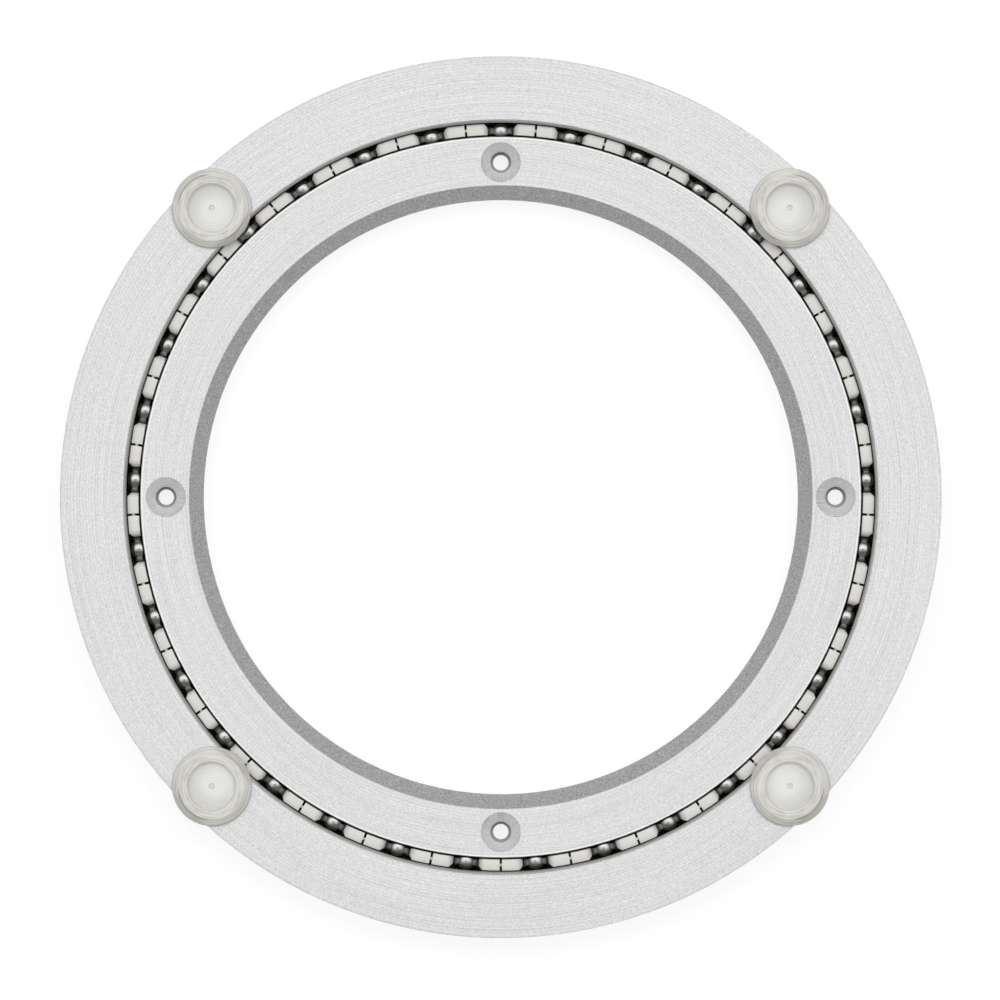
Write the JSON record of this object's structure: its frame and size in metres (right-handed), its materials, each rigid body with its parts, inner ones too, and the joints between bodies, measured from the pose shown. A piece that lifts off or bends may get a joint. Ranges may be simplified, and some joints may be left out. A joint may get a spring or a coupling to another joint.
{
  "type": "lazy susan bearing",
  "caption": "Flat turntable bearing of turned aluminium: the outer ring, with soft translucent pads on its face, spins on spaced steel balls around a screwed-down inner ring.",
  "frame": {"origin": "centre of the inner ring's lower face, the face that is screwed down, on the axis of rotation", "axes": "+Z along the axis of rotation towards the side with the pads and countersinks; +X and +Y each pass through a screw hole, and +Y through a ball at rest"},
  "size_m": [0.2, 0.2, 0.0127],
  "materials": {
    "ring_metal": "faces turned with fine concentric lines, the bore's bevel matt",
    "ball_steel": "polished steel balls",
    "spacer_plastic": "off-white moulded plastic",
    "pad_rubber": "milky translucent soft plastic with a warm tint"
  },
  "bodies": {
    "inner_ring": {"inner_ring": "ring_metal"},
    "outer_ring": {"outer_ring": "ring_metal", "pad_1": "pad_rubber", "pad_2": "pad_rubber", "pad_3": "pad_rubber", "pad_4": "pad_rubber"},
    "ball_train": {"balls": "ball_steel", "spacer_01": "spacer_plastic", "spacer_02": "spacer_plastic", "spacer_03": "spacer_plastic", "spacer_04": "spacer_plastic", "spacer_05": "spacer_plastic", "spacer_06": "spacer_plastic", "spacer_07": "spacer_plastic", "spacer_08": "spacer_plastic", "spacer_09": "spacer_plastic", "spacer_10": "spacer_plastic", "spacer_11": "spacer_plastic", "spacer_12": "spacer_plastic", "spacer_13": "spacer_plastic", "spacer_14": "spacer_plastic", "spacer_15": "spacer_plastic", "spacer_16": "spacer_plastic", "spacer_17": "spacer_plastic", "spacer_18": "spacer_plastic", "spacer_19": "spacer_plastic", "spacer_20": "spacer_plastic", "spacer_21": "spacer_plastic", "spacer_22": "spacer_plastic", "spacer_23": "spacer_plastic", "spacer_24": "spacer_plastic", "spacer_25": "spacer_plastic", "spacer_26": "spacer_plastic", "spacer_27": "spacer_plastic", "spacer_28": "spacer_plastic", "spacer_29": "spacer_plastic", "spacer_30": "spacer_plastic", "spacer_31": "spacer_plastic", "spacer_32": "spacer_plastic", "spacer_33": "spacer_plastic"}
  },
  "joints": [
    {"name": "outer_ring_turn", "type": "hinge", "parent": "inner_ring", "child": "outer_ring", "pos_m": [0, 0, 0.00485], "axis": [0, 0, 1], "continuous": true},
    {"name": "ball_train_turn", "type": "hinge", "parent": "inner_ring", "child": "ball_train", "pos_m": [0, 0, 0.00485], "axis": [0, 0, 1], "continuous": true}
  ],
  "couplings": [
    {"joint": "ball_train_turn", "follows": "outer_ring_turn", "ratio": 0.51807}
  ]
}
